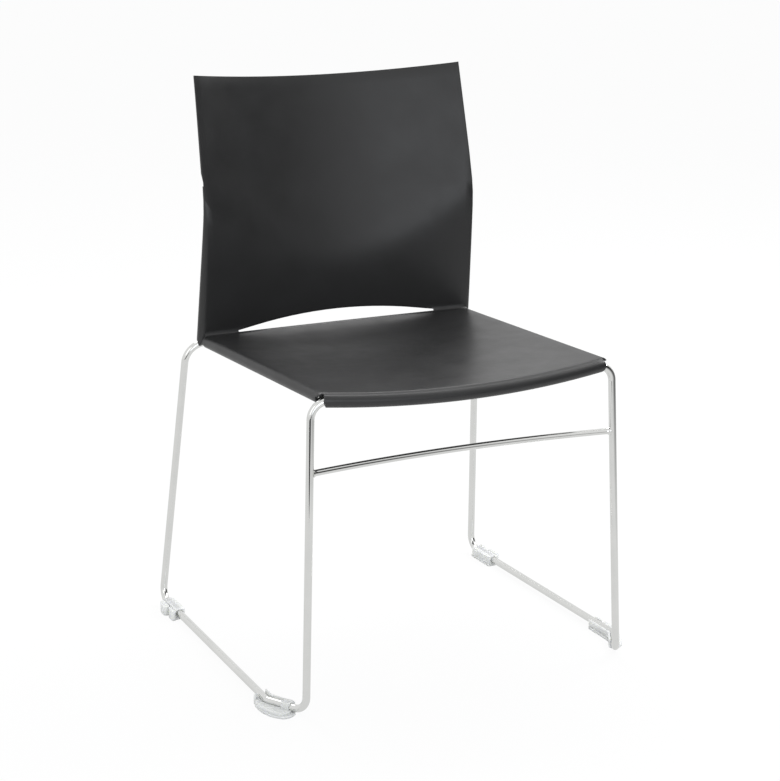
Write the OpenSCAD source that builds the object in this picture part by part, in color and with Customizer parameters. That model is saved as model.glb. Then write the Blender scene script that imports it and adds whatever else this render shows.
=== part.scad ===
// Choir chair: a one-piece moulded shell carried by a bent rod sled frame with four linking feet.
// The chair faces -Y and stands on Z = 0; its origin is on the floor, midway between the feet.
// Left and right are as seen from the front, so left is -X.

/* [Frame rod] */
// Diameter of the rod of the sled and of the rods under the shell
rod_d = 11; // [9:0.5:12]
// Diameter of the stretcher between the front legs
stretcher_d = 9; // [7:0.5:10]
// Bend radius, to the rod's centre, at the top of the front legs
front_bend_r = 25; // [22:1:30]
// Bend radius, to the rod's centre, at the top of the rear legs
rear_bend_r = 32; // [26:1:36]
// Bend radius, to the rod's centre, where a leg meets its runner
foot_bend_r = 20; // [16:1:26]
// Bend radius of the runner's jog behind the front leg
jog_bend_r = 18; // [16:1:18]
// Bend radius where a seat rail turns up into its upright
rail_bend_r = 13; // [12:0.5:15]

/* [Sled] */
// Half the spacing of the front legs, at the floor
front_foot_x = 254.5; // [245:0.5:262]
// How far the front legs stand ahead of the origin, at the floor
front_foot_y = 252.7; // [240:0.5:265]
// Half the spacing of the rear legs, at the floor
rear_foot_x = 280.2; // [272:0.5:290]
// How far the rear legs stand behind the origin, at the floor
rear_foot_y = 251.8; // [240:0.5:270]
// Half the spacing of the runners, where they jog in towards the front legs
jog_x = 288.5; // [280:0.5:296]
// Length of the jog, from its corner to the front leg
jog_run = 60; // [54:1:72]
// Half the spacing of the front legs, at the front cross rod
front_top_x = 238.7; // [234:0.5:244]
// How far the front cross rod's ends lie ahead of the origin
front_top_y = 239.2; // [232:0.5:246]
// Height of the front cross rod's ends
front_cross_z = 454.8; // [454:0.2:456]
// Half the spacing of the rear legs, at the rear cross rod
rear_top_x = 251.8; // [246:0.5:258]
// How far the rear cross rod lies behind the origin
rear_top_y = 195.7; // [193:0.5:202]
// Straight length of a leg's end between its top bend and the butt weld
stub_run = 12; // [6:1:18]
// How far the middle of the front cross rod bows forward
front_bow_y = 16.5; // [8:0.5:24]
// How far the middle of the front cross rod drops
front_bow_z = 12.6; // [5:0.2:14]
// Height of the stretcher
stretcher_z = 352.6; // [250:1:380]
// How far the middle of the stretcher bows back
stretcher_bow = 18; // [8:1:30]
// Length of the weld collar round each end of the stretcher
collar_len = 5; // [3:0.5:8]

/* [Rails and uprights] */
// Height of the seat rails at the origin
rail_z = 446.7; // [445:0.5:448.5]
// Tilt of the seat, lower at the back
seat_tilt = 2.25; // [1.6:0.05:2.8]
// Half the spacing of the seat rails, at the front
rail_front_x = 220.9; // [218:0.2:222]
// Half the spacing of the seat rails, at the back corner
rail_rear_x = 223.6; // [222.4:0.2:224]
// How far the corner between rail and upright lies behind the origin
corner_y = 193.3; // [191:0.2:194.5]
// Lean of the uprights, forward at the top
upright_lean = 7; // [5:0.5:8]
// Rise of the uprights' tops above the seat's back corner
upright_rise = 85; // [60:1:90]
// Thickness of the nylon cap on each upright
cap_t = 4; // [2:0.5:6]

/* [Shell] */
// Wall of the shell's open surfaces
wall = 4; // [3:0.25:5]
// Clearance between the rolls and the rods inside them
roll_gap = 0.5; // [0.4:0.05:0.7]
// Outer radius of the roll along each side of the seat
side_roll_r = 8.75; // [8.5:0.05:10]
// Outer radius of the roll along the front of the seat
front_roll_r = 9.2; // [8.6:0.1:10]
// Step of the seat's surface above the front roll
front_step = 2; // [1:0.25:3]
// Half the length of the front roll
front_roll_x = 223; // [214:0.5:224]
// How far the front roll's ends are rounded back above and below
front_end_round = 6; // [2:0.5:8]
// How far the sleeves' mouths and the rolls' mouths taper at the front corners
mouth_run = 20; // [12:1:30]
// How far the mouths at the front roll's ends open round the rod
mouth_grow = 1.4; // [1:0.1:2]
// How far the seat's middle lies below its sides, at its deepest
seat_dish = 13; // [6:0.5:18]
// How far the seat's middle lies below its sides, at the back edge
rear_dish = 1.5; // [1:0.25:6]
// Length of the fold between seat and back, to each side of its corner
fold_run = 9; // [9:0.5:12]

/* [Back] */
// Height of the back's top corners
back_top_z = 842; // [780:1:880]
// How far the top edge dips in the middle
top_dip = 14; // [4:1:24]
// Half the width over the sleeves, at the seat
back_low_x = 235.3; // [234.4:0.1:236]
// Half the width where the sleeves end
back_mid_x = 227.6; // [226:0.1:229]
// Half the width at the top corners
back_top_x = 223.6; // [215:0.2:232]
// Recline of the back above its bend
recline = 14.2; // [10:0.2:20]
// Height of the back's bend at its edges
bend_edge_z = 650; // [630:1:680]
// How far the bend line sags in the middle of the back
bend_sag = 97; // [20:1:110]
// How softly the back bends
bend_soft = 22; // [12:1:40]
// How far the back's middle is set back from its edges
back_hollow = 22; // [15:1:40]
// Outer radius of the sleeves at the seat
sleeve_r = 9.4; // [9.2:0.1:10.4]
// Radius left at the sleeves' upper ends
sleeve_end_r = 2.3; // [2:0.1:3]
// Height where the sleeves run out
sleeve_top_z = 690; // [670:1:720]
// Wall of the sleeves
sleeve_wall = 1.9; // [1.2:0.1:2]
// How far each sleeve's tongue reaches down over the rear corner
tongue_drop = 31; // [24:0.5:31]

/* [Hand slot] */
// Half the length of the slot between back and seat
slot_x = 178; // [120:1:184]
// Height that the slot's upper edge rises to, above the fold's corner
slot_rise = 21; // [13:0.5:24]
// Width of the slot's rounded ends
slot_end = 1.8; // [1.5:0.1:4]

/* [Fixings] */
// Width of the fixing tabs along the rail
tab_w = 26; // [18:1:32]
// Thickness of the fixing tabs
tab_t = 2.5; // [2:0.25:3]
// How far the tabs reach inboard of the rail's centre
tab_reach = 34; // [28:1:40]
// Thread diameter of the shell screws
screw_d = 5; // [4:0.5:6]
// Head diameter of the shell screws
screw_head_d = 10; // [8.5:0.5:12]
// Head height of the shell screws
screw_head_h = 3; // [2:0.25:4]
// Diameter of the moulded bosses under the seat
boss_d = 13; // [11:0.5:16]

/* [Feet] */
// Thickness of the pad under the runner
pad_t = 3.2; // [2.5:0.1:5]
// How far the pad reaches past the block
pad_rim = 4; // [2:0.5:6]
// Width of a foot's closed block
block_w = 22; // [19:0.5:28]
// How far the block is set inboard of the rod
block_set = 2; // [0.5:0.25:3]
// Cover of the block over the rod
saddle_top = 2.2; // [1.5:0.1:4]
// Length of the rear feet's blocks
rear_block_len = 62; // [50:1:68]
// Length of the front feet's trays behind the jog
heel_len = 34; // [28:1:44]
// Length of the front feet's closed toes
toe_len = 40; // [34:1:44]
// Thickness of the front feet's inboard flanges and rear brackets
flange_t = 2.5; // [2:0.25:4]
// How far the lobes reach outboard of the block
lobe_out = 9; // [6:0.5:14]
// Width of a lobe
lobe_w = 16; // [12:0.5:18]
// Length of a rear foot's long lobe, between the centres of its round ends
lobe_len = 24; // [16:1:28]
// Gap between a rear foot's long lobe and its short lobe
lobe_gap = 2; // [1:0.5:6]
// Height of the rear feet's lobes
lobe_h = 12; // [10.5:0.25:13]
// Height of the front feet's trays, below the middle of the rod
tray_h = 8.4; // [5:0.2:8.6]
// Width of the front feet's closed toes
toe_w = 19; // [17:0.5:22]
// Width of the front feet's paddles
paddle_w = 24; // [18:0.5:28]
// Width of the slot in each left rear foot's long lobe
link_slot_w = 4; // [3:0.25:6]
// Depth of that slot
link_slot_depth = 3; // [2:0.25:5]
// Diameter of the screw that holds each foot
foot_screw_d = 4; // [3:0.5:5]

/* [Hidden] */

// Gap at seats that touch and at welds
seat_gap = 0.3;
// Overrun of cutting shapes past the surfaces that they cut
over = 1;
rod_r = rod_d / 2;
runner_z = pad_t + seat_gap + rod_r;
rod_fn = 48;
// Drawing the rod through its bends thins it a little, and the straight runs lap over the bends' ends
bend_thin = 0.03;
bend_lap = 0.4;
roll_inner_r = rod_r + roll_gap;

chrome = "#c9ccd0";
plastic = "#2b2c2e";
zinc = "#9aa0a6";
nylon = "#d6d8d6";

// Vector helpers
function unit(v) = v / norm(v);
function mix(a, b, share) = a + (b - a) * share;
function flip(p, side) = [p[0] * side, p[1], p[2]];
function clamp01(v) = min(1, max(0, v));
function ease(v) = let (c = clamp01(v)) c * c * (3 - 2 * c);

// Places of the sled's corners on the right-hand side
jog_pt = [jog_x, -front_foot_y + jog_run, runner_z];
front_foot_pt = [front_foot_x, -front_foot_y, runner_z];
rear_foot_pt = [rear_foot_x, rear_foot_y, runner_z];
front_top_pt = [front_top_x, -front_top_y, front_cross_z];

// The front cross rod bows down and forward in one slanted plane
bow = norm([front_bow_y, front_bow_z]);
bow_dir = unit([0, -front_bow_y, -front_bow_z]);
stub_len = front_bend_r + stub_run;
bow_angle = atan(2 * bow / (front_top_x + stub_len));
front_butt_x = front_top_x - stub_len * cos(bow_angle);
bow_r = front_butt_x / sin(bow_angle);
bow_start = stub_len * sin(bow_angle);
function bow_at(x) = abs(x) > front_butt_x
    ? (front_top_x - abs(x)) * tan(bow_angle)
    : bow_start + sqrt(bow_r * bow_r - x * x) - bow_r * cos(bow_angle);
function front_axis(x) = [x, -front_top_y, front_cross_z] + bow_dir * bow_at(x);
rear_butt_x = rear_top_x - rear_bend_r - stub_run;

// Seat rail and upright
rail_slope = tan(seat_tilt);
function rail_height(y) = rail_z - y * rail_slope;
function rail_half(y) = mix(rail_front_x, rail_rear_x, (y + front_top_y) / (corner_y + front_top_y));
corner_z = rail_height(corner_y);
corner_pt = [rail_rear_x, corner_y, corner_z];
upright_slope = tan(upright_lean);
rail_front_y = front_axis(rail_front_x)[1] + rod_r + 2 * seat_gap;

// The rear cross rod lies against the outside of the rails' bends
rail_turn = 90 + upright_lean + seat_tilt;
rail_cut = rail_bend_r * tan(rail_turn / 2);
bend_centre = [corner_y - rail_cut * cos(seat_tilt) + rail_bend_r * sin(seat_tilt),
               corner_z + rail_cut * sin(seat_tilt) + rail_bend_r * cos(seat_tilt)];
weld_reach = rail_bend_r + rod_d + seat_gap;
rear_cross_z = bend_centre[1] - sqrt(pow(weld_reach, 2) - pow(rear_top_y - bend_centre[0], 2));
rear_top_pt = [rear_top_x, rear_top_y, rear_cross_z];

// Sleeve round the upright: its outer radius shrinks from the seat to the sleeve's upper end
sleeve_fade_share = 1.7;
sleeve_low_z = corner_z;
function sleeve_radius(z) = z > sleeve_top_z ? sleeve_end_r
    : mix(sleeve_r, sleeve_end_r, pow(clamp01((z - sleeve_low_z) / (sleeve_top_z - sleeve_low_z)),
                                      sleeve_fade_share));
function back_outer_x(z) = z < sleeve_top_z
    ? mix(back_low_x, back_mid_x, (z - sleeve_low_z) / (sleeve_top_z - sleeve_low_z))
    : mix(back_mid_x, back_top_x, (z - sleeve_top_z) / (back_top_z - sleeve_top_z));
function sleeve_axis_x(z) = back_outer_x(z) - sleeve_radius(z);
upright_top_z = corner_z + upright_rise;
upright_x = sleeve_axis_x(upright_top_z);
upright_pt = [upright_x, corner_y - upright_rise * upright_slope, upright_top_z];

// Side profile of the back: forward-leaning below its bend and reclined above it
low_slope = -upright_slope;
high_slope = tan(recline);
function bend_rise(u) = (low_slope + high_slope) / 2 * u
    + (high_slope - low_slope) / 2 * sqrt(u * u + bend_soft * bend_soft);
bend_y = corner_y - bend_rise(corner_z - bend_edge_z);
function sleeve_axis_y(z) = bend_y + bend_rise(z - bend_edge_z);

// Angle at which the hollow back and the dished seat run into their rolled edges
back_join = atan(2 * back_hollow / back_mid_x);
seat_join = atan(2 * seat_dish / rail_front_x);

function back_half(z) = sleeve_axis_x(z) - sleeve_radius(z) * sin(back_join);
function back_y(x, z) = let (t = min(1, abs(x) / back_half(z)), hollow = 1 - t * t)
    bend_y + bend_rise(z - bend_edge_z + bend_sag * hollow)
    - sleeve_radius(z) * cos(back_join) + back_hollow * hollow;

// Seat surface, level with the rolls at its sides and with the step over the front roll
seat_half = rail_front_x - side_roll_r * sin(seat_join);
seat_lift = side_roll_r * cos(seat_join);
front_set = 3;
deep_y = corner_y / 3;
front_blend_run = 70;
function dish_at(y) = y > deep_y
    ? mix(seat_dish, rear_dish, ease((y - deep_y) / (corner_y - deep_y)))
    : mix(seat_dish, front_dish, ease((deep_y - y) / (deep_y + front_top_y)));
front_dish = rail_height(-front_top_y - front_bow_y) + seat_lift
    - front_axis(0)[2] - front_roll_r - front_step;
function seat_base(x, y) = let (t = min(1, abs(x) / seat_half))
    rail_height(y) + seat_lift - dish_at(y) * (1 - t * t);
function seat_front_y(x) = front_axis(x)[1] + front_set;
function seat_front_z(x) = front_axis(x)[2] + front_roll_r + front_step;
function seat_top(x, y) = let (edge_y = seat_front_y(x))
    seat_base(x, y) + (seat_front_z(x) - seat_base(x, edge_y)) * (1 - ease((y - edge_y) / front_blend_run));

// Corner of the fold in the column at x, found by going between seat and back
function fold_step(x, y, turns) = turns == 0 ? [x, y, seat_top(x, y)]
    : fold_step(x, back_y(x, seat_top(x, y)), turns - 1);
function fold_corner(x) = fold_step(x, corner_y, 3);

// Point on a column of the shell: q runs from -1 to 1 over the fold, in units of its run beyond
function shell_path(x, q) = let (k = fold_corner(x),
        a = [x, k[1] - fold_run, seat_top(x, k[1] - fold_run)],
        bz = k[2] + fold_run,
        b = [x, back_y(x, bz), bz])
    q < -1 ? let (y = a[1] + (q + 1) * fold_run) [x, y, seat_top(x, y)]
    : q > 1 ? let (z = bz + (q - 1) * fold_run) [x, back_y(x, z), z]
    : let (s = (q + 1) / 2) a * (1 - s) * (1 - s) + k * 2 * s * (1 - s) + b * s * s;

// Hand slot: the lens between seat and back, in units of the fold's run
function slot_lens(x) = abs(x) < slot_x ? 1 - pow(x / slot_x, 2) : 0;
slot_low = -slot_end / fold_run / 2;
function slot_high(x) = -slot_low + slot_rise / fold_run * slot_lens(x);

// Rows of points next to the fold start this many runs away from the slot's edges
fold_reach = 1.1;
edge_corner = fold_corner(seat_half);
fold_low_y = edge_corner[1] + fold_run * (slot_low - fold_reach);
back_low_z = edge_corner[2] - fold_run * (slot_low - fold_reach);

// Grid of the shell: columns run from left to right, rows from the front roll to the top edge
main_cols = 26;
roll_cols = 12;
cols = main_cols + 1 + 2 * roll_cols;
front_angles = [for (k = [0:9]) -145 + k * 217 / 9];
front_rows = len(front_angles) + 2;
seat_shares = [0, 0.014, 0.045, 0.085, 0.135, 0.2, 0.29, 0.4, 0.51, 0.62, 0.73, 0.83, 0.92, 1];
seat_rows = len(seat_shares);
low_shares = [0.3, 0.55, 0.8, 1];
high_shares = [0, 0.45, 0.7, 1];
fold_rows = len(low_shares);
back_shares = [for (k = [1:19]) k / 19];
back_rows = len(back_shares);
row_seat = front_rows;
row_low = row_seat + seat_rows + fold_rows - 1;
row_high = row_low + 1;
row_back = row_high + fold_rows;
rows = row_back + back_rows;
// Row on the back above which the sleeves have run out
sleeve_rows = [for (i = [row_back - 1:rows - 1]) if (row_z(i) < sleeve_top_z) i];
row_sleeve = sleeve_rows[len(sleeve_rows) - 1];
// Rows of the fold that the side rolls reach into
roll_fold_rows = 2;
row_roll_end = row_seat + seat_rows + roll_fold_rows - 1;
// Upper turns of the rolls that run on over the fold, from the side rolls to the sleeves' tongues,
// and at the front over the ends of the groove and of the seat's edge
corner_turns = 3;
corner_turn_end = 108;
edge_turns = 4;
// Rows over which the side rolls' points gather towards those turns
gather_rows = 4;

// Share of the half width at each main column, closer together towards the edges
function col_share(c) = sin(90 * (2 * c / main_cols - 1)) * 0.35 + (2 * c / main_cols - 1) * 0.65;

// Place along the column of a row beside or beyond the fold
function row_q(i, x) =
    i <= row_low ? mix(slot_low - fold_reach, slot_low, low_share(i))
    : mix(slot_high(x), slot_high(x) + fold_reach, high_share(i));
function low_share(i) = i <= row_low - fold_rows ? 0 : low_shares[i - row_low + fold_rows - 1];
function high_share(i) = high_shares[i - row_high];

// Height of a row of the back and depth of a row of the seat, at their edges
function row_z(i) = i < row_back ? back_low_z - (row_back - 1 - i) * slot_end
    : mix(back_low_z, back_top_z, back_shares[i - row_back]);
function row_y(i) = mix(seat_front_y(seat_half), fold_low_y,
    seat_shares[min(seat_rows - 1, max(0, i - row_seat))]);

// Half the width of the sheet in each row; the front roll's ends are rounded over its turn
end_shares = [[-145, 1], [-90, 0.9], [-50, 0.45], [-10, 0], [30, 0], [75, 0.35]];
function front_half(i) = let (a = front_angles[min(i, len(front_angles) - 1)])
    front_roll_x - front_end_round * lookup(a, end_shares);
function row_half(i) = i <= row_seat ? front_half(i)
    : i < row_seat + seat_rows ? rail_half(row_y(i)) - side_roll_r * sin(seat_join)
    : i < row_back ? mix(rail_half(row_y(i)) - side_roll_r * sin(seat_join), back_half(back_low_z),
                         (i - row_seat - seat_rows + 1) / (row_back - row_seat - seat_rows))
    : let (z = row_z(i)) sleeve_axis_x(z) + sleeve_radius(z) * sin(join_at(z));
// The sheet meets the sleeve at its front and slides round to its outer side where the sleeve runs out
free_join = 55;
fade_low_z = mix(upright_top_z, sleeve_top_z, 0.4);
function join_at(z) = mix(-back_join, free_join, ease((z - fade_low_z) / (sleeve_top_z - fade_low_z)));

// Front roll: angle zero points forward and 90 up, then come the groove and the seat's front edge
function mouth_share(x) = ease((abs(x) - front_roll_x + mouth_run) / mouth_run);
function front_point(i, x, inner) = let (
        axis = front_axis(x),
        r = inner ? roll_inner_r + mouth_grow * mouth_share(x) : front_roll_r)
    i < len(front_angles) ? axis + [0, -r * cos(front_angles[i]), r * sin(front_angles[i])]
    : i == len(front_angles) ? axis + [0, -front_set / 3, r]
    : i == len(front_angles) + 1 ? axis + [0, front_set / 6, r + front_step * (inner ? 0.2 : 0.75)]
    : axis + [0, front_set, r + front_step];

function sheet_point(i, share) = let (x = share * row_half(i))
    i < row_seat ? front_point(i, x, false)
    : i < row_seat + seat_rows ? let (
            y0 = seat_front_y(x),
            y1 = shell_path(x, slot_low - fold_reach)[1],
            y = mix(y0, y1, seat_shares[i - row_seat])) [x, y, seat_top(x, y)]
    : i < row_back ? shell_path(x, row_q(i, x))
    : let (z0 = shell_path(x, slot_high(x) + fold_reach)[2],
           z1 = back_top_z - top_dip * (1 - share * share),
           z = mix(z0, z1, back_shares[i - row_back])) [x, back_y(x, z), z];

main_grid = [for (i = [0:rows - 1]) [for (c = [0:main_cols]) sheet_point(i, col_share(c))]];

// Wall of the sheet, thinner towards its rolled edges
edge_band_share = 0.14;
free_edge_share = 0.6;
free_edge_run = 130;
end_wall_share = 1.57;
function sheet_wall(i, c) = mix(wall, edge_wall(i), ease((abs(col_share(c)) - 1) / edge_band_share + 1));
function edge_wall(i) = i > row_sleeve
    ? mix(sleeve_end_r * end_wall_share, wall * free_edge_share,
          ease((row_z(i) - sleeve_top_z) / free_edge_run))
    : is_back(i) ? sleeve_wall : side_roll_r - roll_inner_r;
function sleeve_inner_r(z) = let (r = sleeve_radius(z)) max(r - sleeve_wall, r / 3);

function sheet_normal(i, c) = let (
        down = (i == 0 || i == row_high) ? i : i - 1,
        up = (i == rows - 1 || i == row_low) ? i : i + 1,
        left = max(0, c - 1),
        right = min(main_cols, c + 1))
    unit(cross(main_grid[i][right] - main_grid[i][left], main_grid[up][c] - main_grid[down][c]));

inner_grid = [for (i = [0:rows - 1]) [for (c = [0:main_cols])
    i <= row_seat ? front_point(i, main_grid[i][c][0], true)
    : main_grid[i][c] - sheet_normal(i, c) * sheet_wall(i, c)]];

// Rolled edge of a row: turn runs outwards from the sheet's face, round the rod and back inboard.
// Each sleeve reaches down over the rear corner by shares of its drop that change round its turn.
tongue_shares = [[-15, 0], [9, 0.3], [29, 0.52], [50, 0.86], [70, 0.72], [90, 0.62], [110, 0.57],
                 [131, 0.54], [180, 0.38], [232, 0.3]];
seat_roll_end = 222;
sleeve_turn_end = 232;
function is_back(i) = i >= row_back - 1;
function gather(i) = ease((i - row_roll_end + gather_rows) / gather_rows);
function turn_of(i, k) = is_back(i) ? mix(join_at(row_z(i)), sleeve_turn_end, k / roll_cols)
    : mix(mix(-seat_join, seat_roll_end, k / roll_cols),
          lookup(k, [[0, -seat_join], [corner_turns, corner_turn_end], [roll_cols, seat_roll_end]]),
          gather(i));
function tongue_z(i, k) = row_z(i) - tongue_drop * lookup(turn_of(i, k), tongue_shares)
    * pow(1 - clamp01((row_z(i) - back_low_z) / (sleeve_top_z - back_low_z)), 5);
function roll_axis(i) = let (y = main_grid[i][0][1]) [rail_half(y), y, rail_height(y)];
function roll_point(i, k, side, inner) = is_back(i)
    ? let (z = tongue_z(i, k), a = turn_of(i, k),
           r = inner ? sleeve_inner_r(z) : sleeve_radius(z))
      [side * (sleeve_axis_x(z) + r * sin(a)), sleeve_axis_y(z) - r * cos(a), z]
    : let (axis = roll_axis(i), a = turn_of(i, k),
           r = inner ? roll_inner_r + seat_gap * gather(i) : side_roll_r)
      [side * (axis[0] + r * sin(a)), axis[1], axis[2] + r * cos(a)];

// How many turns the edge of each row has: all round the rods, some at the corners or none
function over_fold(i) = i > row_roll_end && i < row_back - 1;
function turns_at(i) = over_fold(i) ? corner_turns
    : i == row_seat ? edge_turns
    : i == row_seat - 1 ? edge_turns - 1
    : i > row_seat && i <= row_sleeve ? roll_cols : 0;
function corner_point(i, k, side, inner) =
    mix(roll_point(row_roll_end, k, side, inner), roll_point(row_back - 1, k, side, inner),
        (i - row_roll_end) / (row_back - 1 - row_roll_end));
function edge_point(i, k, side, inner) = let (
        from = inner_or_outer(i, side < 0 ? 0 : main_cols, inner),
        a = turn_of(row_seat, k),
        r = inner ? roll_inner_r : side_roll_r)
    from + r * [side * (sin(a) + sin(seat_join)), 0, cos(a) - cos(seat_join)];
function turned_point(i, k, side, inner) =
    turns_at(i) == 0 || (k == 0 && turns_at(i) < roll_cols)
        ? inner_or_outer(i, side < 0 ? 0 : main_cols, inner)
    : over_fold(i) ? corner_point(i, k, side, inner)
    : i <= row_seat ? edge_point(i, k, side, inner)
    : roll_point(i, k, side, inner);
function grid_point(i, c, inner) =
    c <= roll_cols ? turned_point(i, roll_cols - c, -1, inner)
    : c >= roll_cols + main_cols ? turned_point(i, c - roll_cols - main_cols, 1, inner)
    : inner_or_outer(i, c - roll_cols, inner);
function inner_or_outer(i, c, inner) = inner ? inner_grid[i][c] : main_grid[i][c];

// A cell lies between four points of the grid; the slot and the ends of the rolls leave theirs out
function in_slot(c) = abs(main_grid[row_low][c][0]) < slot_x && abs(main_grid[row_low][c + 1][0]) < slot_x;
function cell(i, c) =
    i < 0 || c < 0 || i > rows - 2 || c > cols - 2 ? false
    : c < roll_cols ? roll_cols - c <= min(turns_at(i), turns_at(i + 1))
    : c >= roll_cols + main_cols ? c - roll_cols - main_cols < min(turns_at(i), turns_at(i + 1))
    : i != row_low || !in_slot(c - roll_cols);

function id(i, c, inner) = (inner ? rows * cols : 0) + i * cols + c;
function quad(a, b, c, d) = [[a, b, c], [a, c, d]];

shell_points = concat(
    [for (i = [0:rows - 1]) for (c = [0:cols - 1]) grid_point(i, c, false)],
    [for (i = [0:rows - 1]) for (c = [0:cols - 1]) grid_point(i, c, true)]);

// Each cell has an outer and an inner face, and an edge wall on each side that no other cell meets
function edge_quad(i, c, j, d) = quad(id(i, c, false), id(j, d, false), id(j, d, true), id(i, c, true));
function cell_faces(i, c) = concat(
    quad(id(i, c, false), id(i + 1, c, false), id(i + 1, c + 1, false), id(i, c + 1, false)),
    quad(id(i, c, true), id(i, c + 1, true), id(i + 1, c + 1, true), id(i + 1, c, true)),
    cell(i - 1, c) ? [] : edge_quad(i, c, i, c + 1),
    cell(i + 1, c) ? [] : edge_quad(i + 1, c + 1, i + 1, c),
    cell(i, c - 1) ? [] : edge_quad(i + 1, c, i, c),
    cell(i, c + 1) ? [] : edge_quad(i, c + 1, i + 1, c + 1));
shell_faces = [for (i = [0:rows - 2]) for (c = [0:cols - 2]) if (cell(i, c)) each cell_faces(i, c)];

// Rods

// Places the children with their Z axis from one point to another
module along(from, to) {
    z = unit(to - from);
    x = unit(abs(z[2]) > 0.9 ? cross([0, 1, 0], z) : cross([0, 0, 1], z));
    y = cross(z, x);
    multmatrix([[x[0], y[0], z[0], from[0]],
                [x[1], y[1], z[1], from[1]],
                [x[2], y[2], z[2], from[2]], [0, 0, 0, 1]])
        children();
}

module straight_rod(from, to, r) {
    along(from, to)
        cylinder(r = r, h = norm(to - from), $fn = rod_fn);
}

// A rod through the points, with a round bend of the given radius at each inner point
module bent_rod(points, radii, r) {
    last = len(points) - 1;
    dirs = [for (k = [0:last - 1]) unit(points[k + 1] - points[k])];
    turns = [for (k = [1:last - 1]) acos(dirs[k - 1] * dirs[k])];
    cuts = concat([0], [for (k = [0:last - 2]) radii[k] * tan(turns[k] / 2)], [0]);
    for (k = [0:last - 1])
        straight_rod(points[k] + dirs[k] * (cuts[k] - (k == 0 ? 0 : bend_lap)),
                     points[k + 1] - dirs[k] * (cuts[k + 1] - (k == last - 1 ? 0 : bend_lap)), r);
    for (k = [1:last - 1])
        rod_bend(points[k] - dirs[k - 1] * cuts[k], dirs[k - 1], dirs[k], radii[k - 1], turns[k - 1], r);
}

module rod_bend(start, from_dir, to_dir, bend_r, turn, r) {
    axis = unit(cross(from_dir, to_dir));
    out = cross(from_dir, axis);
    centre = start - out * bend_r;
    multmatrix([[out[0], from_dir[0], axis[0], centre[0]],
                [out[1], from_dir[1], axis[1], centre[1]],
                [out[2], from_dir[2], axis[2], centre[2]], [0, 0, 0, 1]])
        rotate_extrude(angle = turn, $fn = 2 * rod_fn)
            translate([bend_r, 0])
                circle(r = r - bend_thin, $fn = rod_fn);
}

module sled_path(side, r) {
    bent_rod([flip([front_butt_x, front_axis(front_butt_x)[1], front_axis(front_butt_x)[2]], side),
                  flip(front_top_pt, side),
                  flip(front_foot_pt, side),
                  flip(jog_pt, side),
                  flip(rear_foot_pt, side),
                  flip(rear_top_pt, side),
                  flip([rear_butt_x, rear_top_y, rear_cross_z], side)],
             [front_bend_r, foot_bend_r, jog_bend_r, foot_bend_r, rear_bend_r], r);
}

module sled_rod(side) {
    color(chrome)
        sled_path(side, rod_r);
}

// Bowed rod between the butt welds at the front legs' ends
module front_cross_rod() {
    mid = front_axis(0);
    centre = mid - bow_dir * bow_r;
    up = cross([1, 0, 0], bow_dir);
    color(chrome)
        multmatrix([[1, bow_dir[0], up[0], centre[0]],
                    [0, bow_dir[1], up[1], centre[1]],
                    [0, bow_dir[2], up[2], centre[2]], [0, 0, 0, 1]])
            rotate([0, 0, 90 - bow_angle])
                rotate_extrude(angle = 2 * bow_angle, $fn = 12 * rod_fn)
                    translate([bow_r, 0])
                        circle(r = rod_r, $fn = rod_fn);
}

module rear_cross_rod() {
    color(chrome)
        straight_rod([-rear_butt_x, rear_top_y, rear_cross_z],
                     [rear_butt_x, rear_top_y, rear_cross_z], rod_r);
}

// Seat rail that butts against the front cross rod and turns up into the sleeve of the back
module rail_rod(side) {
    color(chrome)
        bent_rod([flip([rail_front_x, rail_front_y, rail_height(rail_front_y)], side),
                  flip(corner_pt, side),
                  flip(upright_pt, side)],
                 [rail_bend_r], rod_r);
}

module upright_cap(side) {
    dir = unit(flip(upright_pt - corner_pt, side));
    from = flip(upright_pt, side) + dir * seat_gap;
    color(nylon)
        straight_rod(from, from + dir * cap_t, rod_r);
}

// Stretcher, bowed back between the front legs, with a weld collar at each end
function leg_at(z) = mix(front_foot_pt, front_top_pt, (z - runner_z) / (front_cross_z - runner_z));
stretcher_end = leg_at(stretcher_z);
stretcher_r = (pow(stretcher_end[0], 2) + pow(stretcher_bow, 2)) / (2 * stretcher_bow);
stretcher_turn = asin(stretcher_end[0] / stretcher_r);
collar_grow = 1.6;
module front_stretcher() {
    centre = [0, stretcher_end[1] + stretcher_bow - stretcher_r, stretcher_z];
    color(chrome)
        difference() {
            union() {
                translate(centre)
                    rotate([0, 0, 90 - stretcher_turn])
                        rotate_extrude(angle = 2 * stretcher_turn, $fn = 12 * rod_fn)
                            translate([stretcher_r, 0])
                                circle(d = stretcher_d, $fn = rod_fn);
                for (side = [-1, 1])
                    translate(flip(stretcher_end, side))
                        rotate([0, -90 * side, 0])
                            rotate([-stretcher_turn * side, 0, 0])
                                cylinder(r1 = stretcher_d / 2 + collar_grow,
                                         r2 = stretcher_d / 2 + over / 10,
                                         h = rod_r + collar_len, $fn = rod_fn);
            }
            for (side = [-1, 1])
                straight_rod(flip(front_foot_pt, side), flip(front_top_pt, side), rod_r + seat_gap);
            for (side = [-1, 1])
                translate([side * (stretcher_end[0] + rod_r + over), stretcher_end[1], stretcher_z])
                    cube([rod_d, 3 * rod_d, 3 * rod_d], center = true);
        }
}

// Fixing tabs welded inside the rails, each with a screw up into a boss of the shell
fixing_y_shares = [-0.46, 0.36];
fixing_ys = [for (share = fixing_y_shares) share * (corner_y + front_top_y)];
function fixing_x(y) = rail_half(y) - tab_reach + tab_w / 2;
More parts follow.
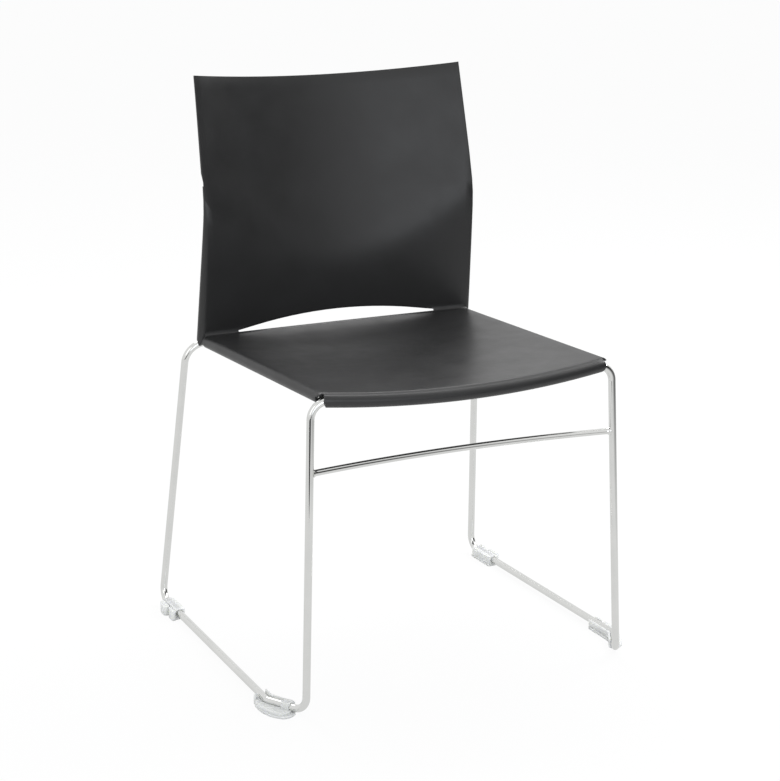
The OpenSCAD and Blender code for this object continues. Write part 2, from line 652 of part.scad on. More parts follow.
// The tabs lie just above the inboard edges of the seat's rolls
function tab_z(y) = rail_height(y - tab_w / 2) + roll_inner_r * cos(seat_roll_end) + seat_gap;
fixings = [for (y = fixing_ys) for (side = [-1, 1]) [side * fixing_x(y), y, tab_z(y)]];
boss_hole_d = screw_d - 4 * seat_gap;
function boss_top(p) = min([for (a = [0:90:270])
    seat_top(p[0] + boss_d / 2 * cos(a), p[1] + boss_d / 2 * sin(a))]) - wall / 3;
// Room for a screw, from the underside of its tab to the underside of the seat
function screw_room(p) = boss_top(p) - wall * 2 / 3 - p[2];

module fixing_tab(p) {
    side = sign(p[0]);
    inner_x = rail_half(p[1]) - tab_reach;
    color(chrome)
        difference() {
            union() {
                translate([side > 0 ? inner_x + tab_w / 2 : -rail_half(p[1]), p[1] - tab_w / 2, p[2]])
                    cube([tab_reach - tab_w / 2, tab_w, tab_t]);
                translate(p)
                    cylinder(d = tab_w, h = tab_t, $fn = rod_fn);
            }
            translate(p - [0, 0, over])
                cylinder(d = screw_d + 2 * seat_gap, h = tab_t + 2 * over, $fn = rod_fn);
            straight_rod(flip([rail_front_x, rail_front_y, rail_height(rail_front_y)], side),
                         flip(corner_pt, side), rod_r + seat_gap);
        }
}

module shell_screws() {
    color(zinc)
        for (p = fixings)
            translate(p - [0, 0, seat_gap + screw_head_h]) {
                difference() {
                    cylinder(d = screw_head_d, h = screw_head_h, $fn = rod_fn);
                    translate([0, 0, -over])
                        cylinder(d = screw_head_d / 2, h = over + screw_head_h / 2, $fn = 6);
                }
                translate([0, 0, screw_head_h])
                    cylinder(d = boss_hole_d - 2 * seat_gap, h = screw_room(p), $fn = rod_fn);
            }
}

module shell() {
    color(plastic) {
        polyhedron(points = shell_points, faces = shell_faces, convexity = 10);
        for (p = fixings)
            difference() {
                translate([p[0], p[1], p[2] + tab_t + seat_gap])
                    cylinder(d = boss_d, h = boss_top(p) - p[2] - tab_t - seat_gap, $fn = rod_fn);
                translate(p)
                    cylinder(d = boss_hole_d, h = screw_room(p), $fn = rod_fn);
            }
    }
}

// Linking feet

// Places the children on the floor under the runner, with Y along it towards the rear
runner_dir = unit([rear_foot_pt[0] - jog_pt[0], rear_foot_pt[1] - jog_pt[1], 0]);
function runner_at(y) = mix(jog_pt, rear_foot_pt, (y - jog_pt[1]) / (rear_foot_pt[1] - jog_pt[1]));
module on_runner(y, side) {
    p = flip(runner_at(y), side);
    d = flip(runner_dir, side);
    multmatrix([[d[1], d[0], 0, p[0]], [-d[0], d[1], 0, p[1]], [0, 0, 1, 0], [0, 0, 0, 1]])
        children();
}

// A flat plate with round ends; its points give the distance outboard of the rod and along it
module strip(from, to, w, h, side) {
    a = [side * from[0], from[1]];
    b = [side * to[0], to[1]];
    normal = [a[1] - b[1], b[0] - a[0]] / norm(b - a);
    linear_extrude(h) {
        polygon([a + normal * w / 2, a - normal * w / 2, b - normal * w / 2, b + normal * w / 2]);
        translate(a)
            circle(d = w, $fn = rod_fn);
        translate(b)
            circle(d = w, $fn = rod_fn);
    }
}

module foot_screw_hole() {
    translate([0, 0, -over])
        cylinder(d = foot_screw_d + 2 * seat_gap, h = pad_t + 2 * over, $fn = rod_fn);
    translate([0, 0, -over])
        cylinder(d = 2 * foot_screw_d + 2 * seat_gap, h = foot_screw_head + over + seat_gap, $fn = rod_fn);
}

// Bores of the feet round the runner and round its jog, each run on over the corner between them
jog_dir = unit(front_foot_pt - jog_pt);
jog_over = rod_r * tan(acos(-jog_dir * runner_dir) / 2) + seat_gap;
module foot_bores(side) {
    straight_rod(flip(jog_pt - runner_dir * jog_over, side), flip(rear_foot_pt, side),
                 rod_r + 2 * seat_gap);
    straight_rod(flip(jog_pt - jog_dir * jog_over, side), flip(front_foot_pt, side),
                 rod_r + 3 * seat_gap);
}

// The height of the feet's closed blocks
block_h = runner_z + rod_r + saddle_top;
foot_screw_head = 1.6;
rear_foot_mid_y = rear_foot_y - foot_bend_r - seat_gap - rear_block_len / 2;

// Rear foot: a closed block round the runner, a pad under it and a long and a short lobe outboard.
// The short lobe is ahead of the long one on the left and behind it on the right.
module rear_foot(side) {
    half = rear_block_len / 2;
    lobe_x = block_w / 2 + lobe_out - lobe_w / 2;
    lobe_y = half / 3;
    lobe_step = lobe_w + lobe_gap;
    short_y = side < 0 ? lobe_y - lobe_len - lobe_step : lobe_y + lobe_step;
    short_len = side < 0 ? lobe_len / 3 : 0;
    color(nylon)
        difference() {
            on_runner(rear_foot_mid_y, side)
                difference() {
                    union() {
                        strip([-block_set, -half + block_w / 2], [-block_set, half - block_w / 2],
                              block_w, block_h, side);
                        strip([0, -half], [0, half], block_w + pad_rim, pad_t, side);
                        strip([lobe_x, lobe_y - lobe_len], [lobe_x, lobe_y], lobe_w, lobe_h, side);
                        strip([lobe_x, short_y - short_len], [lobe_x, short_y + seat_gap],
                              lobe_w, lobe_h, side);
                        strip([0, short_y], [lobe_x, short_y], lobe_w - pad_rim, pad_t, side);
                    }
                    if (side < 0)
                        translate([side * (lobe_x + lobe_w / 2), lobe_y - lobe_len, lobe_h / 2])
                            cube([2 * link_slot_depth, link_slot_w, lobe_h / 2], center = true);
                    foot_screw_hole();
                }
            foot_bores(side);
        }
}

// Front foot: a tray that the runner lies in at its jog, with a thin inboard flange, a bracket at its
// heel, a paddle outboard and a toe that closes over the rod
module front_foot(side) {
    heel = side < 0 ? heel_len : heel_len + toe_len / 3;
    jog = unit([front_foot_x - jog_x, -jog_run]);
    inboard = [jog[1], -jog[0]];
    toe = jog * toe_len;
    tip = jog * norm([front_foot_x - jog_x, jog_run]);
    flange_x = rod_r + 4 * seat_gap + flange_t / 2;
    flange_corner = [-flange_x, flange_x * tan(acos(-jog[1]) / 2)];
    trough_w = rod_d + 2 * flange_t;
    color(nylon)
        difference() {
            on_runner(jog_pt[1], side)
                difference() {
                    union() {
                        strip([0, heel], [0, 0], block_w, pad_t, side);
                        strip([0, heel - trough_w / 2], [0, 0], trough_w, tray_h, side);
                        strip([0, 0], toe, trough_w, tray_h, side);
                        strip(toe / 2, toe, toe_w, block_h, side);
                        if (side > 0)
                            strip(toe, tip, block_w - pad_rim, pad_t, side);
                        strip([-flange_x, heel], flange_corner, flange_t, block_h, side);
                        strip(flange_corner, toe + inboard * flange_x, flange_t, block_h, side);
                        strip([lobe_out, heel - lobe_w], [lobe_out, -lobe_w / 2], paddle_w, tray_h, side);
                        strip([lobe_out, -lobe_w / 2], toe + [lobe_w / 3, 0], paddle_w, pad_t, side);
                        strip([rod_r + 4 * seat_gap + flange_t / 2, heel], [lobe_out + flange_t, heel],
                              flange_t, block_h - saddle_top, side);
                    }
                    translate([0, heel / 2, 0])
                        foot_screw_hole();
                }
            foot_bores(side);
        }
}

module foot_screw(y, side) {
    on_runner(y, side)
        translate([0, 0, seat_gap]) {
            cylinder(d = 2 * foot_screw_d, h = foot_screw_head, $fn = rod_fn);
            translate([0, 0, foot_screw_head])
                cylinder(d = foot_screw_d, h = pad_t - foot_screw_head - seat_gap, $fn = rod_fn);
        }
}

module foot_screws() {
    color(zinc)
        for (side = [-1, 1]) {
            foot_screw(rear_foot_mid_y, side);
            foot_screw(jog_pt[1] + (side < 0 ? heel_len : heel_len + toe_len / 3) / 2, side);
        }
}

shell();
sled_rod(-1);  // sled_rod_left
sled_rod(1);  // sled_rod_right
front_cross_rod();
rear_cross_rod();
rail_rod(-1);  // rail_rod_left
rail_rod(1);  // rail_rod_right
front_stretcher();
fixing_tab(fixings[0]);  // tab_front_left
fixing_tab(fixings[1]);  // tab_front_right
fixing_tab(fixings[2]);  // tab_rear_left
fixing_tab(fixings[3]);  // tab_rear_right
shell_screws();
upright_cap(-1);  // upright_cap_left
upright_cap(1);  // upright_cap_right
front_foot(-1);  // foot_front_left
front_foot(1);  // foot_front_right
rear_foot(-1);  // foot_rear_left
rear_foot(1);  // foot_rear_right
foot_screws();
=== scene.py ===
"""Looks of the choir chair: a moulded polypropylene shell on a chromed rod sled frame with nylon feet.

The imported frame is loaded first. The shell is a dressed copy of its solid, with rounded rims. The rods are
swept anew on the same centre lines, so that the chrome runs smooth round every bend, and the feet are
moulded anew from upright plates, with the rod's channel through them. The rail rods, tabs, screws and caps
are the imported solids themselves. The chair's lengths are written in millimetres and turned into metres when
a mesh is made; the studio is laid out in metres.
"""

import math

import bmesh
import bpy
from mathutils import Matrix, Vector


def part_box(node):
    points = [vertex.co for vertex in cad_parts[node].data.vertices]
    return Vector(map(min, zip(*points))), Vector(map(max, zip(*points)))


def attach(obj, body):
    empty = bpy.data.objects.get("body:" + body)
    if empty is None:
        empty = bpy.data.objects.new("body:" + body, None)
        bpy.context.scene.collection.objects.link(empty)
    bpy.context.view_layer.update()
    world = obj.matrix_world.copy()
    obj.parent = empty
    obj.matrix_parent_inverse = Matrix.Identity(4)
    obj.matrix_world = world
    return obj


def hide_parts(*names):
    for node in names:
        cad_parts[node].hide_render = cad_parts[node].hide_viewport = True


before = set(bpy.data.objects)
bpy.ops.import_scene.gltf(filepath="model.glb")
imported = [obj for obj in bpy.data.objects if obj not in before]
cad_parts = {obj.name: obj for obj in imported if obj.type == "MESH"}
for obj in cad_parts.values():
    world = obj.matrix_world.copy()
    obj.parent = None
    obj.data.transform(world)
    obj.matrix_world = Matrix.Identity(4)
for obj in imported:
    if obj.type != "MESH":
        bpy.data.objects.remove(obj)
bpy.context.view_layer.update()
MM = 0.001
SIDES = ((-1, "left"), (1, "right"))


# Colours and node helpers

def linear(code):
    """Linear RGBA of an sRGB hex colour."""
    channels = [int(code[k:k + 2], 16) / 255 for k in (1, 3, 5)]
    return [c / 12.92 if c <= 0.04045 else ((c + 0.055) / 1.055) ** 2.4 for c in channels] + [1.0]


def add(tree, kind, settings=None, links=None):
    """Adds a node; settings fill its properties and sockets, links say what feeds its sockets."""
    node = tree.nodes.new(kind)

    def socket(key):
        if isinstance(key, int):
            return node.inputs[key]
        return next(s for s in node.inputs if s.name == key and s.enabled)

    for key, value in (settings or {}).items():
        if isinstance(key, str) and key in node.bl_rna.properties:
            setattr(node, key, value)
        else:
            socket(key).default_value = value
    for key, source in (links or {}).items():
        tree.links.new(source, socket(key))
    return node


def grains(mm):
    """Scale of a noise whose grains are about mm millimetres across."""
    return 1 / (mm * MM)


def coated(name, settings):
    """A new material with its tree, its shader with the settings, and the place on the object."""
    material = bpy.data.materials.new(name)
    material.use_nodes = True
    tree = material.node_tree
    shader = tree.nodes["Principled BSDF"]
    for key, value in settings.items():
        shader.inputs[key].default_value = value
    return material, tree, shader, add(tree, "ShaderNodeTexCoord").outputs["Object"]


# Materials

def moulded_polypropylene():
    """Moulded charcoal polypropylene: a satin skin whose fine spark texture breaks up the highlights,
    a little cloudy in colour and sheen, with the slow swell of a large thin moulding."""
    material, tree, shader, place = coated("moulded_polypropylene", {"IOR": 1.49})
    clouds = add(tree, "ShaderNodeTexNoise", {"Scale": grains(60), "Detail": 4}, {"Vector": place})
    colour = add(tree, "ShaderNodeMix",
                 {"data_type": "RGBA", "A": linear("#242424"), "B": linear("#2a2a2b")},
                 {"Factor": clouds.outputs["Fac"]})
    tree.links.new(colour.outputs[2], shader.inputs["Base Color"])
    handling = add(tree, "ShaderNodeTexNoise", {"Scale": grains(45), "Detail": 5, "Roughness": 0.6},
                   {"Vector": place})
    sheen = add(tree, "ShaderNodeMapRange",
                {"From Min": 0.3, "From Max": 0.7, "To Min": 0.33, "To Max": 0.41},
                {"Value": handling.outputs["Fac"]})
    tree.links.new(sheen.outputs["Result"], shader.inputs["Roughness"])
    swell = add(tree, "ShaderNodeTexNoise", {"Scale": grains(140), "Detail": 2}, {"Vector": place})
    waves = add(tree, "ShaderNodeBump", {"Strength": 0.3, "Distance": 0.25 * MM},
                {"Height": swell.outputs["Fac"]})
    # Spark texture has grains of about 0.2 mm; drawn at 0.9 mm so that it shows
    stipple = add(tree, "ShaderNodeTexNoise", {"Scale": grains(0.9), "Detail": 2}, {"Vector": place})
    skin = add(tree, "ShaderNodeBump", {"Strength": 0.5, "Distance": 0.02 * MM},
               {"Height": stipple.outputs["Fac"], "Normal": waves.outputs["Normal"]})
    tree.links.new(skin.outputs["Normal"], shader.inputs["Normal"])
    return material


def chromed_steel():
    """Bright chrome plate on drawn steel rod: almost a mirror, with the faint drawing and polishing marks
    of the rod under it."""
    material, tree, shader, place = coated("chromed_steel", {"Metallic": 1.0})
    haze = add(tree, "ShaderNodeTexNoise", {"Scale": grains(30)}, {"Vector": place})
    colour = add(tree, "ShaderNodeMix",
                 {"data_type": "RGBA", "A": linear("#e1e2e0"), "B": linear("#ebebe9")},
                 {"Factor": haze.outputs["Fac"]})
    tree.links.new(colour.outputs[2], shader.inputs["Base Color"])
    wiping = add(tree, "ShaderNodeTexNoise", {"Scale": grains(12), "Detail": 4}, {"Vector": place})
    gloss = add(tree, "ShaderNodeMapRange",
                {"From Min": 0.3, "From Max": 0.7, "To Min": 0.04, "To Max": 0.1},
                {"Value": wiping.outputs["Fac"]})
    tree.links.new(gloss.outputs["Result"], shader.inputs["Roughness"])
    # Drawing marks are finer than a millimetre; drawn at 3 mm so that they show
    drawing = add(tree, "ShaderNodeTexNoise", {"Scale": grains(3), "Detail": 2}, {"Vector": place})
    marks = add(tree, "ShaderNodeBump", {"Strength": 0.3, "Distance": 0.004 * MM},
                {"Height": drawing.outputs["Fac"]})
    tree.links.new(marks.outputs["Normal"], shader.inputs["Normal"])
    return material


def natural_nylon():
    """Moulded natural nylon: milky, slightly see-through at its edges, with a soft sheen."""
    material, tree, shader, place = coated("natural_nylon", {
        "IOR": 1.53, "Subsurface Weight": 0.6,
        "Subsurface Radius": (0.006, 0.006, 0.0055), "Subsurface Scale": 1.0})
    milk = add(tree, "ShaderNodeTexNoise", {"Scale": grains(8)}, {"Vector": place})
    colour = add(tree, "ShaderNodeMix",
                 {"data_type": "RGBA", "A": linear("#e0e2e1"), "B": linear("#eaebe9")},
                 {"Factor": milk.outputs["Fac"]})
    tree.links.new(colour.outputs[2], shader.inputs["Base Color"])
    rubbing = add(tree, "ShaderNodeTexNoise", {"Scale": grains(4), "Detail": 3}, {"Vector": place})
    sheen = add(tree, "ShaderNodeMapRange",
                {"From Min": 0.3, "From Max": 0.7, "To Min": 0.32, "To Max": 0.46},
                {"Value": rubbing.outputs["Fac"]})
    tree.links.new(sheen.outputs["Result"], shader.inputs["Roughness"])
    # The mould's own grain is finer than 0.5 mm; drawn at 1.5 mm so that it shows
    grain = add(tree, "ShaderNodeTexNoise", {"Scale": grains(1.5)}, {"Vector": place})
    skin = add(tree, "ShaderNodeBump", {"Strength": 0.4, "Distance": 0.03 * MM},
               {"Height": grain.outputs["Fac"]})
    tree.links.new(skin.outputs["Normal"], shader.inputs["Normal"])
    return material


def zinc_plated_steel():
    """Zinc plated screw steel: dull silver under a cloudy passivated film."""
    material, tree, shader, place = coated("zinc_plated_steel", {"Metallic": 1.0})
    film = add(tree, "ShaderNodeTexNoise", {"Scale": grains(2)}, {"Vector": place})
    colour = add(tree, "ShaderNodeMix",
                 {"data_type": "RGBA", "A": linear("#8e9296"), "B": linear("#aeb1b3")},
                 {"Factor": film.outputs["Fac"]})
    tree.links.new(colour.outputs[2], shader.inputs["Base Color"])
    # The plate's crystals are finer than 0.1 mm; drawn at 0.4 mm so that they show
    crystals = add(tree, "ShaderNodeTexNoise", {"Scale": grains(0.4)}, {"Vector": place})
    sheen = add(tree, "ShaderNodeMapRange",
                {"From Min": 0.3, "From Max": 0.7, "To Min": 0.28, "To Max": 0.45},
                {"Value": crystals.outputs["Fac"]})
    tree.links.new(sheen.outputs["Result"], shader.inputs["Roughness"])
    skin = add(tree, "ShaderNodeBump", {"Strength": 0.4, "Distance": 0.01 * MM},
               {"Height": crystals.outputs["Fac"]})
    tree.links.new(skin.outputs["Normal"], shader.inputs["Normal"])
    return material


PLASTIC = moulded_polypropylene()
CHROME = chromed_steel()
NYLON = natural_nylon()
ZINC = zinc_plated_steel()


# Pieces and meshes

# Edges that turn by more than these degrees stay sharp in the shading
ROD_CREASE = 40
MOULDED_CREASE = 50


def add_piece(name, mesh, material, node):
    """Adds a piece that rides on the chair's one body and stands for the named node."""
    piece = bpy.data.objects.new(name, mesh)
    bpy.context.scene.collection.objects.link(piece)
    piece.data.materials.append(material)
    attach(piece, "root")
    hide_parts(node)


def smooth(mesh, crease):
    """Shades a mesh smooth, but keeps its creases sharp."""
    mesh.polygons.foreach_set("use_smooth", [True] * len(mesh.polygons))
    body = bmesh.new()
    body.from_mesh(mesh)
    for edge in body.edges:
        edge.smooth = len(edge.link_faces) != 2 or edge.calc_face_angle(0) < math.radians(crease)
    body.to_mesh(mesh)
    body.free()


def finished(body, name, crease=None):
    """The mesh of a body, shaded smooth where a crease angle is given."""
    mesh = bpy.data.meshes.new(name)
    body.to_mesh(mesh)
    body.free()
    if crease:
        smooth(mesh, crease)
    return mesh


def close_wall(body, ring, next_ring):
    """Closes the wall between two rings of points."""
    for j in range(len(ring)):
        n = (j + 1) % len(ring)
        body.faces.new((ring[j], ring[n], next_ring[n], next_ring[j]))


# Rods: the same centre lines as the frame's solids

ROD_R = 5.5
STRETCHER_R = 4.5
RUNNER_Z = 9.0
# Corners of the right side frame: top and foot of the front leg, end of the jog, foot and top of the rear leg
FRONT_TOP = (238.7, -239.2, 454.8)
FRONT_FOOT = (254.5, -252.7, RUNNER_Z)
JOG = (288.5, -192.7, RUNNER_Z)
REAR_FOOT = (280.2, 251.8, RUNNER_Z)
REAR_TOP_X = 251.8
REAR_TOP_Y = 195.7
FRONT_BEND, FOOT_BEND, JOG_BEND, REAR_BEND = 25.0, 20.0, 18.0, 32.0
# Straight stub between a leg's top bend and the cross rod that it butts on
STUB_RUN = 12.0
# How far the seat's front rod bows forwards and down in its middle
BOW_Y, BOW_Z = 16.5, 12.6
# Points round a rod, degrees of bend between its rings, and rings along half of the front rod
AROUND = 40
BEND_STEP = 3.0
FRONT_STEPS = 40


def bent_path(corners, radii):
    """Points of a rod's centre line, with the inner corners bent by the radii."""
    points = [Vector(p) for p in corners]
    path = [points[0]]
    for k in range(1, len(points) - 1):
        a = (points[k] - points[k - 1]).normalized()
        b = (points[k + 1] - points[k]).normalized()
        turn = a.angle(b)
        r = radii[k - 1]
        start = points[k] - a * r * math.tan(turn / 2)
        inward = (b - a * a.dot(b)).normalized()
        steps = max(2, math.ceil(math.degrees(turn) / BEND_STEP))
        for j in range(steps + 1):
            t = turn * j / steps
            path.append(start + a * r * math.sin(t) + inward * r * (1 - math.cos(t)))
    path.append(points[-1])
    return path


def sweep(name, path, radius):
    """A round rod along a path; the radius is a number or a function of the ring's number."""
    body = bmesh.new()
    rings = []
    side = None
    last = len(path) - 1
    for k, p in enumerate(path):
        ahead = path[min(k + 1, last)] - p
        behind = p - path[max(k - 1, 0)]
        tangent = (ahead.normalized() + behind.normalized()).normalized()
        if side is None:
            side = tangent.orthogonal().normalized()
        side = (side - tangent * side.dot(tangent)).normalized()
        up = tangent.cross(side)
        r = radius(k) if callable(radius) else radius
        rings.append([body.verts.new((p + side * r * math.cos(a) + up * r * math.sin(a)) * MM)
                      for a in (2 * math.pi * j / AROUND for j in range(AROUND))])
    for ring, next_ring in zip(rings, rings[1:]):
        close_wall(body, ring, next_ring)
    body.faces.new(list(reversed(rings[0])))
    body.faces.new(rings[-1])
    return finished(body, name, ROD_CREASE)


BOW = math.hypot(BOW_Y, BOW_Z)
BOW_DIR = Vector((0, -BOW_Y, -BOW_Z)).normalized()
STUB = FRONT_BEND + STUB_RUN
BOW_ANGLE = math.atan(2 * BOW / (FRONT_TOP[0] + STUB))
FRONT_BUTT_X = FRONT_TOP[0] - STUB * math.cos(BOW_ANGLE)
BOW_R = FRONT_BUTT_X / math.sin(BOW_ANGLE)
REAR_BUTT_X = REAR_TOP_X - REAR_BEND - STUB_RUN


def front_axis(x):
    """Centre line of the bowed rod along the seat's front, straight beyond the butts and an arc within."""
    if abs(x) > FRONT_BUTT_X:
        bow = (FRONT_TOP[0] - abs(x)) * math.tan(BOW_ANGLE)
    else:
        bow = STUB * math.sin(BOW_ANGLE) + math.sqrt(BOW_R ** 2 - x * x) - BOW_R * math.cos(BOW_ANGLE)
    return Vector((x, FRONT_TOP[1], FRONT_TOP[2])) + BOW_DIR * bow


rear_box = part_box("rear_cross_rod")
REAR_CROSS_Z = (rear_box[0].z + rear_box[1].z) / 2 / MM


def flip(p, side):
    """A point of the right side, on the side asked for."""
    return (p[0] * side, p[1], p[2])


# Side frames: stub, front leg, jog, runner, rear leg and stub in one rod
sled_paths = {}
for side, word in SIDES:
    corners = [tuple(front_axis(FRONT_BUTT_X)), FRONT_TOP, FRONT_FOOT, JOG, REAR_FOOT,
               (REAR_TOP_X, REAR_TOP_Y, REAR_CROSS_Z), (REAR_BUTT_X, REAR_TOP_Y, REAR_CROSS_Z)]
    path = bent_path([flip(p, side) for p in corners],
                     [FRONT_BEND, FOOT_BEND, JOG_BEND, FOOT_BEND, REAR_BEND])
    sled_paths[side] = path
    add_piece("chromed_sled_rod_" + word, sweep("sled", path, ROD_R), CHROME, "sled_rod_" + word)

# Cross rods between the stubs
path = [front_axis(FRONT_BUTT_X * k / FRONT_STEPS) for k in range(-FRONT_STEPS, FRONT_STEPS + 1)]
add_piece("chromed_front_cross_rod", sweep("front_cross", path, ROD_R), CHROME, "front_cross_rod")
path = [Vector((x, REAR_TOP_Y, REAR_CROSS_Z)) for x in (-REAR_BUTT_X, REAR_BUTT_X)]
add_piece("chromed_rear_cross_rod", sweep("rear_cross", path, ROD_R), CHROME, "rear_cross_rod")


# Stretcher with the small fillet welds that join it to the legs

STRETCHER_Z = 352.6
STRETCHER_BOW = 18.0
WELD_GROW, WELD_RUN = 1.6, 5.0
LEG_SHARE = (STRETCHER_Z - RUNNER_Z) / (FRONT_TOP[2] - RUNNER_Z)
END = Vector(FRONT_FOOT).lerp(Vector(FRONT_TOP), LEG_SHARE)
ARC_R = (END.x ** 2 + STRETCHER_BOW ** 2) / (2 * STRETCHER_BOW)
# Rings by their distance from the leg's centre line, close together over the weld, then evenly
WELD_RINGS = (3.5, 4.5, 5.5, 6.2, 7, 8, 9, 10, 11, 12)
HALF_STEPS = 30
stations = [d - END.x for d in WELD_RINGS]
stations += [(WELD_RINGS[-1] - END.x) * (1 - k / HALF_STEPS) for k in range(1, HALF_STEPS)]
stations += [0] + [-x for x in reversed(stations)]


def arc_point(x):
    """A point of the stretcher's centre line."""
    return Vector((x, END.y + STRETCHER_BOW - ARC_R + math.sqrt(ARC_R ** 2 - x * x), STRETCHER_Z))


def weld_radius(k):
    """The stretcher's radius, which grows over the weld towards the leg's skin."""
    beyond = END.x - ROD_R - abs(stations[k])
    return STRETCHER_R + WELD_GROW * max(0.0, 1 - max(0.0, beyond) / WELD_RUN) ** 2


add_piece("chromed_stretcher", sweep("stretcher", [arc_point(x) for x in stations], weld_radius),
          CHROME, "front_stretcher")


# Shell with its rims rounded

SHELL_RIM = 0.6
# Edges that turn by more than these degrees are rims
RIM_TURN = 55
# Points of the solid closer than this, in metres, are one
SAME_POINT = 1e-6
# Triangles join to quads where they lie this flat and stand this square, in degrees
QUAD_FLAT = 30
QUAD_SQUARE = 50


def dressed_shell():
    """A copy of the shell's solid, its triangles joined to quads and its rims rounded."""
    body = bmesh.new()
    body.from_mesh(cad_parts["shell"].data)
    bmesh.ops.remove_doubles(body, verts=body.verts, dist=SAME_POINT)
    bmesh.ops.dissolve_degenerate(body, edges=body.edges, dist=SAME_POINT)
    bmesh.ops.join_triangles(body, faces=body.faces, angle_face_threshold=math.radians(QUAD_FLAT),
                             angle_shape_threshold=math.radians(QUAD_SQUARE))
    rims = [edge for edge in body.edges
            if len(edge.link_faces) == 2 and edge.calc_face_angle(0) > math.radians(RIM_TURN)]
    bmesh.ops.bevel(body, geom=rims, offset=SHELL_RIM * MM, offset_type="OFFSET", segments=3, profile=0.5,
                    affect="EDGES", clamp_overlap=True)
    return finished(body, "shell_dressed", MOULDED_CREASE)


add_piece("moulded_shell", dressed_shell(), PLASTIC, "shell")


# Feet, laid out in millimetres outboard of the runner and along it towards the rear, from the runner's
# jog for the front feet and from the middle of the block for the rear feet

RUNNER = (Vector(REAR_FOOT) - Vector(JOG)).normalized()
OUTBOARD = Vector((RUNNER.y, -RUNNER.x, 0))
JOG_START = Vector(JOG)
BLOCK_FROM_JOG = 393.2
BLOCK_MID = JOG_START + RUNNER * BLOCK_FROM_JOG
# Direction of the jog towards the front leg, and square to it towards the outside
JOG_RUN = Vector((-0.493, -0.870))
JOG_SIDE = Vector((-JOG_RUN.y, JOG_RUN.x))
CHANNEL_PLAY = 0.4
FOOT_RIM = 0.7
FOOT_RIM_TURN = 35
# A plate's corner is drawn with so many points and takes at most this share of an edge
CORNER_POINTS = 6
CORNER_ROOM = 0.45


def rounded(corners, r):
    """The outline of a plate, its corners rounded off over the length r of each edge that has room."""
    outline = []
    for k, corner in enumerate(corners):
        p = Vector(corner)
        back_way = Vector(corners[k - 1]) - p
        on_way = Vector(corners[(k + 1) % len(corners)]) - p
        cut = min(r, back_way.length * CORNER_ROOM, on_way.length * CORNER_ROOM)
        start = p + back_way.normalized() * cut
        end = p + on_way.normalized() * cut
        for j in range(CORNER_POINTS):
            t = j / (CORNER_POINTS - 1)
            outline.append(start * (1 - t) ** 2 + p * 2 * t * (1 - t) + end * t * t)
    return outline


def along_jog(start, end, inner, outer):
    """A plate's outline along the jog of the rod, between two distances from its corner."""
    return [JOG_RUN * start + JOG_SIDE * outer, JOG_RUN * start + JOG_SIDE * inner,
            JOG_RUN * end + JOG_SIDE * inner, JOG_RUN * end + JOG_SIDE * outer]


def plate_body(name, side, origin, plates):
    """The upright plates of a foot in one mesh. A plate is an outline, the rounding of its corners, its
    bottom and its top."""
    body = bmesh.new()
    for corners, r, bottom, top in plates.values():
        outline = [origin + OUTBOARD * p[0] + RUNNER * p[1] for p in rounded(corners, r)]
        rings = [[body.verts.new(Vector((q.x * side, q.y, z)) * MM) for q in outline]
                 for z in (bottom, top)]
        for ring in rings:
            body.faces.new(ring)
        close_wall(body, *rings)
    bmesh.ops.recalc_face_normals(body, faces=body.faces)
    return finished(body, name)


def moulded_foot(name, side, origin, plates, rod_path):
    """A foot moulded as one body from its plates, with the rod's channel through it. Its shortest edges
    hold the rounding of the rims back to a hair, so that it only softens their shading."""
    foot = bpy.data.objects.new(name + "_body", plate_body(name + "_body", side, origin, plates))
    bore = sweep(name + "_channel", rod_path, ROD_R + CHANNEL_PLAY)
    channel = bpy.data.objects.new(name + "_channel", bore)
    for blank in (foot, channel):
        bpy.context.scene.collection.objects.link(blank)
    bored = foot.modifiers.new("rod_channel", "BOOLEAN")
    bored.operation = "DIFFERENCE"
    bored.solver = "EXACT"
    bored.use_self = True
    bored.object = channel
    rim = foot.modifiers.new("rounded_rim", "BEVEL")
    rim.width = FOOT_RIM * MM
    rim.segments = 2
    rim.limit_method = "ANGLE"
    rim.angle_limit = math.radians(FOOT_RIM_TURN)
    mesh = bpy.data.meshes.new_from_object(foot.evaluated_get(bpy.context.evaluated_depsgraph_get()))
    for blank in (foot, channel):
        bpy.data.objects.remove(blank)
    smooth(mesh, MOULDED_CREASE)
    return mesh


